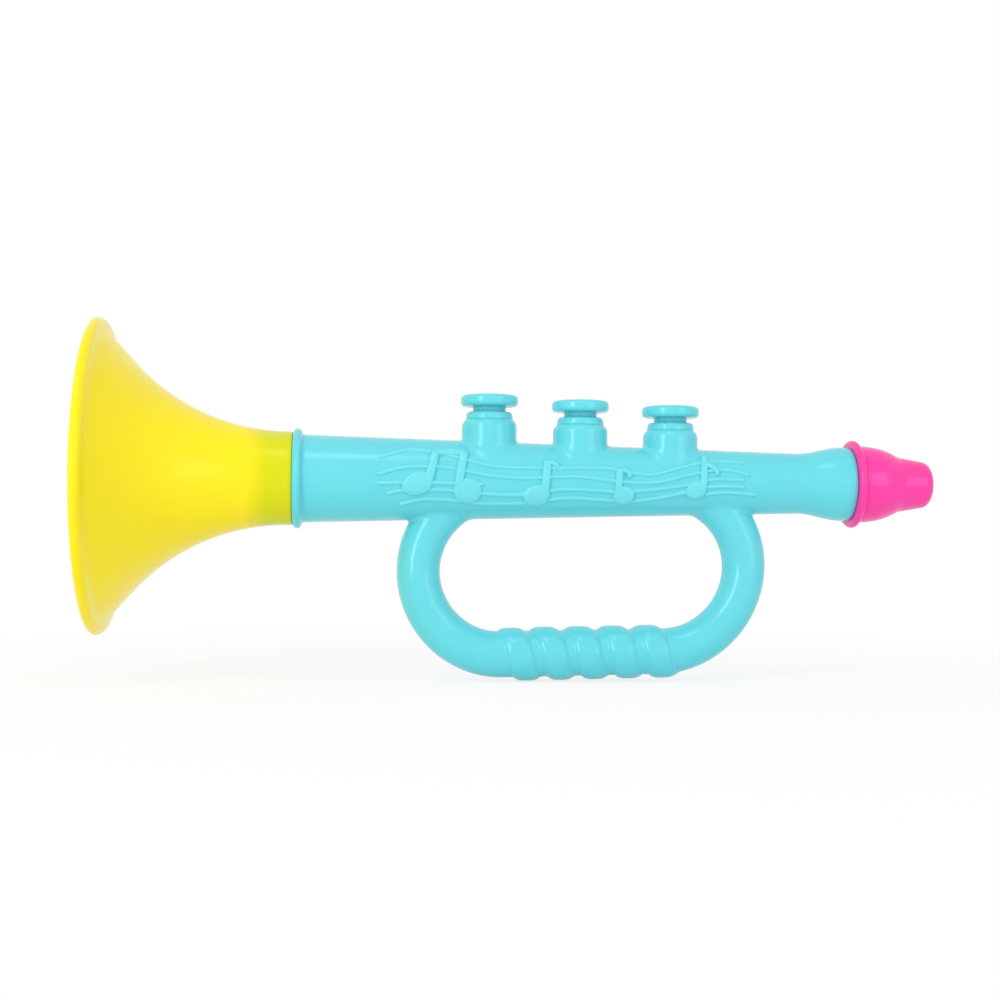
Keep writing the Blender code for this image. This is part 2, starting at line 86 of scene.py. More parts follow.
RIDGE_PITCH, RIDGE_SHIFT, RIDGE_TURNS = 11.2, 1.6, 4.5
VALVE_X = BEAD_X + VALVE_DISTANCE
VALVE_SPACING, VALVE_HEIGHT, VALVE_STEP = 29.5, 21.9, 1.4
VALVES = [(VALVE_X + VALVE_SPACING * i, VALVE_HEIGHT - VALVE_STEP * i) for i in range(3)]
TRAVEL = 1.5
CAP_RADIUS, CAP_HEIGHT, CAP_ROUND, CAP_CROWN = 9.2, 4.1, 1.3, 0.5
CAP_LOW = TRAVEL + FIT_GAP
CAP_TOP = CAP_LOW + CAP_HEIGHT
HUB_RADIUS, HUB_LOW = 5.3, -0.6
STEM_RADIUS, STEM_COVER = 3.5, 1.8
STEM_BORE = STEM_RADIUS + FIT_GAP
SOCKET_TOP = CAP_TOP - STEM_COVER
COLLAR_RADIUS, COLLAR_ROUND, COLLAR_FLARE = 7.25, 0.9, 0.35
COLLAR_WALL, COLLAR_GUIDE = 1.1, 2.6
COUNTER_RADIUS = HUB_RADIUS + FIT_GAP
COUNTER_LOW = HUB_LOW - TRAVEL - FIT_GAP
SKIRT_RADIUS = COUNTER_RADIUS + COLLAR_WALL
SKIRT_LOW = COUNTER_LOW - COLLAR_GUIDE
WELL_RADIUS = SKIRT_RADIUS + FIT_GAP
CASING_WALL, CASING_TOP = 1.8, -2.4
CASING_RADIUS = WELL_RADIUS + CASING_WALL
SHOULDER_HEIGHT, SHOULDER_POWER = 2.3, 2.0
FOOT_HEIGHT, WELL_FLOOR = 1.2, 1.6
SPRING_LENGTH, SPRING_RADIUS, WIRE = 6.5, 4.5, 0.35
SPRING_LOW = SKIRT_LOW - FIT_GAP - FOOT_HEIGHT - FIT_GAP - SPRING_LENGTH
WELL_LOW = SPRING_LOW - FIT_GAP
POST_LOW = WELL_LOW - WELL_FLOOR
FLANGE_X = BODY_END + FIT_GAP
FLANGE_WIDTH, FLANGE_RADIUS = 2.5, 14.3
DOME_RADIUS, DOME_LENGTH, DOME_POWER = 12.5, 13.7, 2.5
TIP_RADIUS, TIP_LENGTH, TIP_ROUND, TIP_TAPER = 9.1, 11.1, 3.4, 1.4
PLUG_RADIUS = SOCKET_RADIUS - FIT_GAP
PLUG_X = SOCKET_X + FIT_GAP
CHAMBER_RADIUS, CHAMBER_LENGTH, BLOW_RADIUS = 6.5, 23.0, 3.5
CHAMBER_END = PLUG_X + CHAMBER_LENGTH

# Soft joins of the moulding
FOOT_SIDE, FOOT_FRONT = 1.2, 3.6
ROOT_FILLET = 1.5
HUB_FILLET = 0.6
BEAD_FILLET, BEAD_FILLET_OFF = 0.8, 0.75
LIP_BLEND, INNER_BLEND, TIP_BLEND = 1.2, 0.35, 1.0
# Small rounded edges
NECK_EDGE, SPIGOT_EDGE, PLUG_EDGE = 0.4, 0.4, 0.4
REAR_EDGE, BORE_EDGE, SKIRT_EDGE = 0.3, 0.3, 0.3
HUB_EDGE, WELL_EDGE, GUIDE_EDGE = 0.25, 0.2, 0.2
BLOW_EDGE = 0.5
# How far hidden ends run into the walls that carry them
WALL_SINK, FOOT_SINK, STAFF_SINK = 0.9, 0.01, 0.7
# Slits left between pieces that are pushed together
TOUCH, FLANGE_SLIT = 0.03, 0.1
# Parting line of the two shells: half its gap, and a fine groove in the skin, closed below it
SEAM, GROOVE, CLOSED = 0.15, 0.15, 0.005

# Counts of points round the pieces
BELL_SIDES, VALVE_SIDES, MOUTH_SIDES, HOLE_SIDES, WIRE_SIDES, HEAD_SIDES = 144, 72, 112, 40, 10, 40
HALF_STEPS, HANDLE_STEPS = 48, 28

MM = 0.001
UP = np.array((0.0, 0.0, 1.0))


def tube_radius(x):
    """Outside of the plain tube between the bead and the waist."""
    share = (x - BEAD_X - BEAD_WIDTH) / (WAIST_X - BEAD_X - BEAD_WIDTH)
    return TUBE_FRONT + (WAIST_RADIUS - TUBE_FRONT) * share


def arc(radius, height, size, start, end, steps):
    """Points (radius, height) on an arc about its middle, between two angles in degrees."""
    turns = np.radians(np.linspace(start, end, steps + 1))
    return [(radius + size * math.cos(t), height + size * math.sin(t)) for t in turns]


def bent(first, corner, last, steps):
    """Points on a curve from first to last that bends round the corner."""
    first, corner, last = np.array(first), np.array(corner), np.array(last)
    shares = np.linspace(0, 1, steps + 1)
    return [(1 - t) ** 2 * first + 2 * t * (1 - t) * corner + t * t * last for t in shares]


def softened(corners, steps=4):
    """A closed outline with its corners rounded: (radius, height, rounding) for each."""
    line = []
    count = len(corners)
    for i, (radius, height, size) in enumerate(corners):
        here = np.array((radius, height))
        if size <= 0:
            line.append(tuple(here))
            continue
        back = np.array(corners[i - 1][:2]) - here
        ahead = np.array(corners[(i + 1) % count][:2]) - here
        reach = min(size, 0.49 * np.linalg.norm(back), 0.49 * np.linalg.norm(ahead))
        first = here + back / np.linalg.norm(back) * reach
        last = here + ahead / np.linalg.norm(ahead) * reach
        line += bent(first, here, last, steps)
    return line


def loft(rings, wrap=False):
    """Points and faces of a closed body through rings of points."""
    rings = np.asarray(rings, float)
    count, size = rings.shape[:2]
    points = rings.reshape(-1, 3)
    faces = []
    for i in range(count if wrap else count - 1):
        here, there = i * size, (i + 1) % count * size
        for j in range(size):
            k = (j + 1) % size
            faces.append((here + j, here + k, there + k, there + j))
    if not wrap:
        for start in (0, (count - 1) * size):
            ring = [Vector(point) for point in points[start:start + size]]
            for face in tessellate_polygon([ring]):
                faces.append(tuple(start + corner for corner in face))
    return points, faces


def revolved(outline, sides, centre=None):
    """A closed outline of (radius, height) turned about the tube, or about a valve's own axis."""
    line = np.array(outline)
    rings = []
    for i in range(sides):
        turn = math.tau * i / sides
        out, side = line[:, 0] * math.cos(turn), line[:, 0] * math.sin(turn)
        if centre is None:
            rings.append(np.stack([line[:, 1], side, out], 1))
        else:
            rings.append(np.stack([centre[0] + out, side, centre[1] + line[:, 1]], 1))
    return loft(rings, wrap=True)


def clean(points, faces):
    """One mesh in millimetres with doubled points welded and faces turned outwards."""
    mesh = bpy.data.meshes.new("shape")
    mesh.from_pydata([tuple(point) for point in points], [], faces)
    shape = bmesh.new()
    shape.from_mesh(mesh)
    bmesh.ops.remove_doubles(shape, verts=shape.verts, dist=0.0005)
    bmesh.ops.dissolve_degenerate(shape, dist=0.0002, edges=shape.edges)
    bmesh.ops.recalc_face_normals(shape, faces=shape.faces)
    shape.to_mesh(mesh)
    shape.free()
    return mesh


def cut(points, faces, tool):
    """The body less the tool, cut at full size in millimetres."""
    made = []
    for name, mesh in (("cut_body", clean(points, faces)), ("cut_tool", clean(*tool))):
        thing = bpy.data.objects.new(name, mesh)
        bpy.context.scene.collection.objects.link(thing)
        made.append(thing)
    boolean = made[0].modifiers.new("cut", 'BOOLEAN')
    boolean.solver = 'EXACT'
    boolean.operation = 'DIFFERENCE'
    boolean.object = made[1]
    graph = bpy.context.evaluated_depsgraph_get()
    mesh = bpy.data.meshes.new_from_object(made[0].evaluated_get(graph))
    for thing in made:
        bpy.data.objects.remove(thing)
    shape = bmesh.new()
    shape.from_mesh(mesh)
    bmesh.ops.triangulate(shape, faces=[face for face in shape.faces if len(face.verts) > 4])
    shape.verts.index_update()
    points = np.array([vert.co for vert in shape.verts])
    faces = [tuple(vert.index for vert in face.verts) for face in shape.faces]
    shape.free()
    return points, faces


def joined(bodies):
    """Points and faces of several bodies as one."""
    points, faces = [], []
    for more_points, more_faces in bodies:
        start = len(points)
        points += [tuple(point) for point in more_points]
        faces += [tuple(start + corner for corner in face) for face in more_faces]
    return points, faces


def piece(name, bodies, material, body, nodes=(), sharp=40.0):
    """A visible piece from closed bodies in millimetres, riding on a CAD body."""
    mesh = clean(*joined(bodies))
    mesh.name = name
    mesh.transform(Matrix.Translation((MOUTH_X, 0.0, AXIS_Z)) @ Matrix.Scale(MM, 4))
    mesh.shade_smooth()
    mesh.set_sharp_from_angle(angle=math.radians(sharp))
    mesh.materials.append(material)
    thing = bpy.data.objects.new(name, mesh)
    bpy.context.scene.collection.objects.link(thing)
    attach(thing, body)
    if nodes:
        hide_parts(*nodes)
    return thing


# Materials

def node(tree, kind, **inputs):
    made = tree.nodes.new(kind)
    for key, value in inputs.items():
        made.inputs[key.replace("_", " ")].default_value = value
    return made


def noise(tree, where, scale, detail, rough=0.5):
    made = node(tree, "ShaderNodeTexNoise", Scale=scale, Detail=detail, Roughness=rough)
    tree.links.new(where, made.inputs["Vector"])
    return made.outputs["Fac"]


def ranged(tree, value, low, high, to_low, to_high):
    made = tree.nodes.new("ShaderNodeMapRange")
    for i, number in enumerate((low, high, to_low, to_high)):
        made.inputs[i + 1].default_value = number
    tree.links.new(value, made.inputs[0])
    return made.outputs[0]


def mixed(tree, share, first, second):
    made = tree.nodes.new("ShaderNodeMix")
    made.data_type = 'RGBA'
    tree.links.new(share, made.inputs["Factor"])
    for socket, value in ((made.inputs[6], first), (made.inputs[7], second)):
        if isinstance(value, tuple):
            socket.default_value = (*value, 1.0)
        else:
            tree.links.new(value, socket)
    return made.outputs[2]


def plastic(name, colour, deep, bright, shine, rough, along=None):
    """Glossy moulded plastic: cloudy pigment, faint flow waviness, orange peel, rubbed edges."""
    made = bpy.data.materials.new(name)
    made.use_nodes = True
    tree = made.node_tree
    shader = tree.nodes["Principled BSDF"]
    place = tree.nodes.new("ShaderNodeTexCoord").outputs["Object"]
    clouds = noise(tree, place, 45.0, 3.0)
    specks = noise(tree, place, 1400.0, 2.0)
    scuffs = noise(tree, place, 160.0, 6.0, 0.7)
    tone = mixed(tree, ranged(tree, clouds, 0.35, 0.7, 0.0, 0.4), colour, deep)
    tone = mixed(tree, ranged(tree, specks, 0.62, 0.8, 0.0, 0.05), tone, bright)
    if along:
        start, end, tint, share = along
        line = tree.nodes.new("ShaderNodeSeparateXYZ")
        tree.links.new(place, line.inputs[0])
        tone = mixed(tree, ranged(tree, line.outputs["X"], start, end, 0.0, share), tone, tint)
    point = tree.nodes.new("ShaderNodeNewGeometry").outputs["Pointiness"]
    tone = mixed(tree, ranged(tree, point, 0.52, 0.62, 0.0, 0.2), tone, bright)
    tree.links.new(tone, shader.inputs["Base Color"])
    rubbed = ranged(tree, scuffs, 0.3, 0.75, rough - 0.02, rough + 0.05)
    tree.links.new(rubbed, shader.inputs["Roughness"])
    peel = node(tree, "ShaderNodeBump", Strength=0.012, Distance=0.0004)
    tree.links.new(noise(tree, place, 700.0, 2.0), peel.inputs["Height"])
    flow = node(tree, "ShaderNodeBump", Strength=0.03, Distance=0.0008)
    tree.links.new(noise(tree, place, 70.0, 1.0), flow.inputs["Height"])
    tree.links.new(peel.outputs[0], flow.inputs["Normal"])
    tree.links.new(flow.outputs[0], shader.inputs["Normal"])
    shader.inputs["IOR"].default_value = 1.42
    shader.inputs["Specular Tint"].default_value = (*shine, 1.0)
    return made


def metal(name, colour, deep, rough):
    """Drawn or rolled metal: fine drawing lines and dull patches."""
    made = bpy.data.materials.new(name)
    made.use_nodes = True
    tree = made.node_tree
    shader = tree.nodes["Principled BSDF"]
    place = tree.nodes.new("ShaderNodeTexCoord").outputs["Object"]
    patches = noise(tree, place, 400.0, 4.0)
    tone = mixed(tree, ranged(tree, patches, 0.35, 0.7, 0.0, 0.8), colour, deep)
    tree.links.new(tone, shader.inputs["Base Color"])
    dull = ranged(tree, noise(tree, place, 1500.0, 5.0), 0.3, 0.7, rough - 0.08, rough + 0.12)
    tree.links.new(dull, shader.inputs["Roughness"])
    lines = node(tree, "ShaderNodeBump", Strength=0.08, Distance=0.0001)
    tree.links.new(noise(tree, place, 3000.0, 2.0), lines.inputs["Height"])
    tree.links.new(lines.outputs[0], shader.inputs["Normal"])
    shader.inputs["Metallic"].default_value = 1.0
    return made


# Where the cyan spigot shows through the bell's neck: start, end, tint and its share
NECK_TINT = (MOUTH_X + 0.0470, MOUTH_X + 0.0540, (0.66, 0.67, 0.002), 0.95)
YELLOW = plastic(
    "yellow_plastic", (0.97, 0.785, 0.010), (0.945, 0.755, 0.010), (0.98, 0.82, 0.03),
    (1.0, 0.94, 0.55), 0.23, NECK_TINT,
)
CYAN = plastic(
    "cyan_plastic", (0.132, 0.66, 0.745), (0.118, 0.635, 0.72), (0.20, 0.73, 0.80),
    (0.85, 1.0, 1.0), 0.16,
)
# Painted highlight: a lighter copy of the cyan plastic for the raised staff and notes, standing in for
# the light that catches their tops
RAISED_PAINTED_HIGHLIGHT = plastic(
    "cyan_raised_plastic_painted_highlight", (0.165, 0.70, 0.775), (0.15, 0.68, 0.755), (0.24, 0.76, 0.82),
    (0.85, 1.0, 1.0), 0.15,
)
PINK = plastic(
    "pink_plastic", (0.96, 0.046, 0.37), (0.935, 0.04, 0.345), (0.98, 0.10, 0.45),
    (1.0, 0.8, 0.92), 0.17,
)
WHITE = plastic(
    "white_plastic", (0.80, 0.80, 0.78), (0.74, 0.74, 0.71), (0.86, 0.86, 0.85),
    (1.0, 1.0, 1.0), 0.34,
)
STEEL = metal("spring_wire", (0.62, 0.62, 0.64), (0.45, 0.45, 0.47), 0.28)
BRASS = metal("reed_brass_sheet", (0.76, 0.56, 0.22), (0.58, 0.40, 0.13), 0.32)


# Bell

def flare(offset, steps, reach):
    """The flare as an arc from the neck and a cone to the lip, moved inwards by the offset."""
    turn = math.radians(FLARE_ANGLE)
    slope = math.tan(turn)
    rise = LIP_RADIUS - LIP_FACE - NECK_RADIUS
    size = (BELL_LENGTH - FLARE_STRAIGHT - LIP_DEPTH - rise / slope) / math.tan(turn / 2)
    line = arc(
        NECK_RADIUS + size, BELL_LENGTH - FLARE_STRAIGHT, size + offset, 180, 180 + FLARE_ANGLE, steps
    )
    radius, x = line[-1]
    for share in (0.3, 0.65, 1.0):
        line.append((radius + (reach - radius) * share, x - (reach - radius) * share / slope))
    return line


LIP_ROLL = 2 * LIP_ROUND
ROLL_START = 72
HOLLOW_OUT, HOLLOW_UP = 0.35, 0.05
FACE_START, FACE_END, FACE_SINK = 0.6, 0.1, 0.15
FLARE_STEPS = 36


def make_bell():
    root = LIP_RADIUS - LIP_FACE
    end = BEAD_X - TOUCH
    line = [(NECK_RADIUS - NECK_EDGE, end), (NECK_RADIUS - 0.12, end - 0.12)]
    line += [(NECK_RADIUS, end - NECK_EDGE)]
    line += flare(0.0, FLARE_STEPS, root - LIP_BLEND)
    roll = arc(LIP_RADIUS - LIP_ROLL, LIP_DEPTH - LIP_ROLL, LIP_ROLL, ROLL_START, 0, 10)
    line += bent(line[-1], (root + HOLLOW_OUT, LIP_DEPTH + HOLLOW_UP), roll[0], 7)[1:-1]
    line += roll
    line += arc(LIP_RADIUS - LIP_ROUND, LIP_ROUND, LIP_ROUND, 0, -90, 8)[1:]
    line += [(root + FACE_START, 0.0), (root + FACE_END, FACE_SINK)]
    line += flare(BELL_WALL, FLARE_STEPS, root - INNER_BLEND)[::-1]
    line += [(NECK_BORE, end - NECK_EDGE), (NECK_BORE + NECK_EDGE, end)]
    piece("bell_skin", [revolved(line, BELL_SIDES)], YELLOW, "body", ["bell"], 50)


# Body shells: a half tube, a half loop handle and three half casings on each side

def tube_outline():
    """Half section of the hollow tube: spigot, bead, taper, rear flare, socket and bore."""
    half = BEAD_WIDTH / 2
    bore = SPIGOT_RADIUS - SHELL_WALL
    rear_bore = WAIST_RADIUS - SHELL_WALL
    bead_end = BEAD_X + BEAD_WIDTH
    end = FLANGE_X - FLANGE_SLIT
    line = [(bore + BORE_EDGE, SPIGOT_X), (SPIGOT_RADIUS - SPIGOT_EDGE, SPIGOT_X)]
    line += [(SPIGOT_RADIUS, SPIGOT_X + SPIGOT_EDGE), (SPIGOT_RADIUS, BEAD_X)]
    line += arc(BEAD_RADIUS - half, BEAD_X + half, half, -90, 78, 12)
    line += arc(TUBE_FRONT + BEAD_FILLET, bead_end + BEAD_FILLET_OFF, BEAD_FILLET, 245, 180, 4)
    for x in np.linspace(bead_end + 3.0, WAIST_X - 4.0, 60):
        line.append((tube_radius(x), x))
    for t in np.linspace(0, 1, 16):
        rise = (REAR_RADIUS - WAIST_RADIUS) * (0.5 - 0.5 * math.cos(math.pi * t))
        line.append((WAIST_RADIUS + rise, WAIST_X + REAR_FLARE * t))
    line += [(REAR_RADIUS, end - REAR_EDGE), (REAR_RADIUS - 0.09, end - 0.09)]
    line += [(REAR_RADIUS - REAR_EDGE, end), (SOCKET_RADIUS + REAR_EDGE, end)]
    line += [(SOCKET_RADIUS, end - REAR_EDGE), (SOCKET_RADIUS, SOCKET_X)]
    line += [(rear_bore, SOCKET_X), (rear_bore, WAIST_X)]
    line += [(TUBE_FRONT - SHELL_WALL, bead_end + SHELL_WALL)]
    return line + [(bore, bead_end - SHELL_WALL), (bore, SPIGOT_X + BORE_EDGE)]


def parted(ring, side):
    """An end ring drawn in from the skin and up to the middle plane, which closes the parting line."""
    flat = ring[:, [0, 2]]
    after = np.roll(flat, -1, 0)
    ahead = after - np.roll(flat, 1, 0)
    ahead /= np.linalg.norm(ahead, axis=1)[:, None] + 1e-9
    turned = (flat[:, 0] * after[:, 1] - flat[:, 1] * after[:, 0]).sum()
    drawn = flat + np.stack([-ahead[:, 1], ahead[:, 0]], 1) * math.copysign(GROOVE, turned)
    return np.stack([drawn[:, 0], np.full(len(drawn), side * CLOSED), drawn[:, 1]], 1)


# Holes in the tube under the casings: below the valve's level, and in from the casing
HOLE_DROP, HOLE_INSET = 1.0, 0.9


def half_tube(side):
    """Half of the tube, with holes where the casings' wells go in."""
    line = np.array(tube_outline())
    rings = []
    for i in range(HALF_STEPS + 1):
        turn = math.pi * i / HALF_STEPS
        across = np.maximum(line[:, 0] * math.sin(turn), SEAM) * side
        rings.append(np.stack([line[:, 1], across, line[:, 0] * math.cos(turn)], 1))
    rings = [parted(rings[0], side), *rings, parted(rings[-1], side)]
    radius = CASING_RADIUS - HOLE_INSET
    holes = []
    for x, top in VALVES:
        high = top - HOLE_DROP
        outline = [(0.0, high), (radius, high), (radius, 0.0), (0.0, 0.0)]
        holes.append(revolved(outline, HOLE_SIDES, (x, 0.0)))
    return cut(*loft(rings), joined(holes))


# Shares of a turn by which the ridge runs on past its ends, and over which it fades there
RIDGE_LEAD, RIDGE_FADE = 0.1, 0.12


def ridge(run, turn):
    """Height of the ridge that winds round the grip, fading out at its two ends."""
    start = RIDGE_SHIFT - RIDGE_TURNS * RIDGE_PITCH / 2
    height = 0.0
    for wind in range(-1, math.ceil(RIDGE_TURNS) + 1):
        place = turn + wind
        off = abs(run - start - RIDGE_PITCH * place) / (RIDGE_WIDTH / 2)
        if off < 1.0 and -RIDGE_LEAD < place < RIDGE_TURNS + RIDGE_LEAD:
            left = min(place + RIDGE_LEAD, RIDGE_TURNS + RIDGE_LEAD - place)
            fade = min(1.0, left / RIDGE_FADE)
            height = max(height, RIDGE_HEIGHT * fade * (1.0 - off ** RIDGE_POWER))
    return height


def bar_radius(run):
    """Radius of the plain bar, thicker along the grip than at the roots."""
    past = max(0.0, abs(run) - HANDLE_HALF) / (HANDLE_BEND * math.pi / 2)
    return LEG_RADIUS + (ARM_RADIUS - LEG_RADIUS) * (1.0 - min(1.0, past))


def loop_point(run, turn, extra=0.0):
    """Point on the skin of the handle, at a run along it and a share of a turn round it."""
    size = bar_radius(run) + ridge(run, turn) + extra
    up, y = size * math.cos(math.tau * turn), -size * math.sin(math.tau * turn)
    bend = max(0.0, abs(run) - HANDLE_HALF) / HANDLE_BEND
    reach = min(abs(run), HANDLE_HALF) + (HANDLE_BEND - up) * math.sin(bend)
    x, z = math.copysign(reach, run), (up - HANDLE_BEND) * math.cos(bend)
    spread = ARM_FLARE / (HANDLE_HALF + HANDLE_BEND)
    level = HANDLE_BEND - HANDLE_DROP + z + HANDLE_TILT * x
    return np.array((HANDLE_X + x * (1.0 + spread * z), y, max(level, -AXIS_Z / MM)))


def unit(vector):
    return vector / np.linalg.norm(vector)


def outside(point):
    """Height of a point over the tube."""
    return math.hypot(point[1], point[2]) - tube_radius(point[0])


def onto_tube(point, over=0.0):
    """The point moved straight in or out to a height over the tube."""
    scale = (tube_radius(point[0]) + over) / math.hypot(point[1], point[2])
    return np.array((point[0], point[1] * scale, point[2] * scale))


def soft_foot(corner, wall, outwards, reach, steps):
    """A curve from a wall, round its corner with the tube, out level with it and into its wall."""
    over = np.array((0.0, corner[1], corner[2])) / math.hypot(corner[1], corner[2])
    along = outwards - over * outwards.dot(over)
    low = onto_tube(corner + unit(along) * reach, -FOOT_SINK)
    level = np.array((0.0, low[1], low[2])) / math.hypot(low[1], low[2])
    bend = corner + wall * max(0.0, (low - corner).dot(level) / wall.dot(level))
    return bent(bend + wall * reach, bend, low, steps) + [onto_tube(low, -WALL_SINK)]


def run_at(sign, turn):
    """Where a line along the handle meets the tube, found by halving."""
    low, high = HANDLE_HALF + HANDLE_BEND, HANDLE_HALF + HANDLE_BEND * math.radians(175)
    for _ in range(30):
        middle = (low + high) / 2
        if outside(loop_point(sign * middle, turn)) > 0.0:
            low = middle
        else:
            high = middle
    return sign * low


# Half the length of the finely stepped grip, and the step that finds a direction on the skin
GRIP_HALF, PROBE = 31.5, 0.5


def half_handle(side):
    """Half of the loop handle, with soft roots on the tube."""
    first_turn = 0.0 if side < 0 else 0.5
    lines = []
    for turn in np.linspace(first_turn, first_turn + 0.5, HANDLE_STEPS + 1):
        roots = []
        for sign in (-1, 1):
            hit = run_at(sign, turn)
            corner = loop_point(hit, turn)
            outwards = unit(loop_point(hit, turn, PROBE) - corner)
            wall = unit(loop_point(hit - sign * PROBE, turn) - corner)
            foot = soft_foot(corner, wall, outwards, ROOT_FILLET, 8)
            start = hit - sign * np.linalg.norm(foot[0] - corner)
            arm = [loop_point(run, turn) for run in np.linspace(sign * GRIP_HALF, start, 40)[:-1]]
            roots.append(arm + foot)
        middle = [loop_point(run, turn) for run in np.linspace(-GRIP_HALF, GRIP_HALF, 150)[1:-1]]
        lines.append(roots[0][::-1] + middle + roots[1])
    rings = np.array(lines).transpose(1, 0, 2)
    rings[:, :, 1] = side * np.maximum(side * rings[:, :, 1], SEAM)
    first, last = rings[:, :1].copy(), rings[:, -1:].copy()
    draw = (last - first) / np.linalg.norm(last - first, axis=2, keepdims=True) * GROOVE
    first, last = first + draw, last - draw
    first[:, :, 1] = last[:, :, 1] = side * CLOSED
    return loft(np.concatenate([first, rings, last], 1))


# Below the soft foot the post draws in, goes down into the tube and ends in a low cone
POST_INSET, POST_SINK, POST_CONE = 0.5, 1.2, 0.4
CASING_EDGE = 0.15


def half_casing(x, top, side):
    """Half of a valve casing, with a soft foot on the tube and its blind well inside."""
    high = top + CASING_TOP
    start = COLLAR_RADIUS + COLLAR_FLARE
    rings = []
    for turn in np.linspace(0.0, math.pi, HALF_STEPS + 1):
        outwards = np.array((math.cos(turn), math.sin(turn) * side, 0.0))

        def at(radius, z):
            return np.array((x, 0.0, z)) + outwards * radius

        here = at(CASING_RADIUS, 0.0)
        skin = math.sqrt(tube_radius(here[0]) ** 2 - here[1] ** 2)
        reach = FOOT_SIDE + (FOOT_FRONT - FOOT_SIDE) * math.sin(turn) ** 2
        ring = [at(WELL_RADIUS + WELL_EDGE, high), at(start - CASING_EDGE, high)]
        for share in np.linspace(0, 1, 10):
            swell = (CASING_RADIUS - start) * (1 - (1 - share) ** SHOULDER_POWER)
            ring.append(at(start + swell, high - SHOULDER_HEIGHT * share))
        ring += soft_foot(at(CASING_RADIUS, skin), UP, outwards, reach, 10)
        low = min(top + POST_LOW + POST_CONE, skin - POST_SINK - POST_CONE)
        ring.append(at(CASING_RADIUS - POST_INSET, skin - POST_SINK))
        ring.append(at(CASING_RADIUS - POST_INSET, low))
        ring += [at(0.0, top + POST_LOW), at(0.0, top + WELL_LOW), at(WELL_RADIUS, top + WELL_LOW)]
        ring.append(at(WELL_RADIUS, high - WELL_EDGE))
        rings.append(ring)
    rings = np.array(rings)
    rings[:, :, 1] = side * np.maximum(side * rings[:, :, 1], SEAM)
    return loft([parted(rings[0], side), *rings, parted(rings[-1], side)])


# Raised music staff, laid on the tube: places are (x from the staff's middle, rise over its level)

STAFF_MIDDLE, STAFF_LEVEL = 148.4, -0.45
STAFF = [
    [(-59.8, 6.8), (-52.3, 9.25), (-48.2, 9.5), (-38.2, 7.9), (-27, 5.15), (-20, 4.3), (-3, 4.25),
     (11.5, 4.35), (22, 2.75), (28, 2.75), (37.2, 5.2), (46.6, 7), (57.4, 6.6)],
    [(-60.6, 1.6), (-52.7, 3.75), (-45, 4.2), (-37.4, 3.9), (-27, 1.95), (-16, 1), (-3, 1.5), (4, 1.55),
     (15.3, 0.3), (27.5, 0.05), (38.3, 2.45), (46.2, 4), (52.1, 4.2), (58.5, 2.5)],
    [(-60.7, -1.15), (-50.2, -0.8), (-40.8, -0.85), (-26.8, -1.15)],
    [(-57.4, -4.4), (-52.6, -3.35), (-40.8, -3), (-31.3, -3.7), (-21.9, -4.35), (-14, -4.2),
     (-5.4, -2.8), (2, -2.4), (15.4, -3), (26, -2.3), (37.6, -0.75), (45.4, 1.1), (51.9, 1.35),
     (56.8, 1.05)],
    [(-53.6, -7.65), (-45.7, -6), (-36.3, -6.25), (-28.4, -7), (-21.7, -7.1), (-14.7, -6.9),
     (-5.3, -5.6), (2, -5.1), (15.6, -5.85), (22, -5.8), (31.9, -4.3), (41.2, -1.95),
     (46, -1.1), (51.9, -0.9), (56.8, -1.15)],
    [(43.6, -3.7), (47.1, -3.1), (52, -2.85), (60.9, -3.5)],
]
# Stems, beam and flags of the notes, each with its width first
STEMS = [
    (3.0, [(-45.4, -3.4), (-44.4, 0), (-43.2, 4.4), (-41.9, 9.3)]),
    (2.6, [(-42.6, 8.7), (-37.5, 8.65), (-32.4, 8.6)]),
    (3.0, [(-32.8, 9.3), (-34, 4.3), (-35.1, -2.4)]),
    (2.9, [(-7.8, -6), (-7.4, 0.2), (-6.7, 6.6)]),
    (1.9, [(-6.5, 6), (-4.7, 5.5), (-3.1, 4.4)]),
    (2.5, [(15.5, -5.2), (15.9, -0.5), (16.4, 4.5)]),
    (1.6, [(16.6, 3.8), (18.6, 3.3), (19.6, 2.3), (18.6, 1.5)]),
    (2.5, [(43, -3.2), (43.6, 3.3), (44.2, 8.6)]),
    (1.8, [(44.4, 6), (46.3, 5), (47.9, 3.4), (47.3, 2.4)]),
]
# Heads of the notes: middle, half length, half width, tilt in degrees
HEADS = [
    (-47.7, -1.1, 5.2, 3.8, 18), (-32, -3.3, 4.6, 4.3, 0), (-10.2, -4.5, 4.5, 3.6, 12),
    (17.7, -4.2, 3.6, 3.3, 0), (40.9, -2.4, 3.5, 2.9, 12),
]
LINE_WIDTH, LINE_HEIGHT, STEM_HEIGHT, HEAD_HEIGHT = 1.5, 0.6, 1.07, 1.1
LINE_STEP = 0.7


def unrolled(places):
    """Places on the tube as x and the way round from its nearest line."""
    found = []
    for x, rise in places:
        size = tube_radius(STAFF_MIDDLE + x)
        found.append((x, size * math.asin((rise + STAFF_LEVEL) / size)))
    return np.array(found)


def on_tube(x, way, height, side):
    """A point on or over the tube. The far side carries the staff turned about, so that it reads on."""
    x = STAFF_MIDDLE - side * x
    size = tube_radius(x)
    turn = way / size
    return (x, side * (size + height) * math.cos(turn), (size + height) * math.sin(turn))


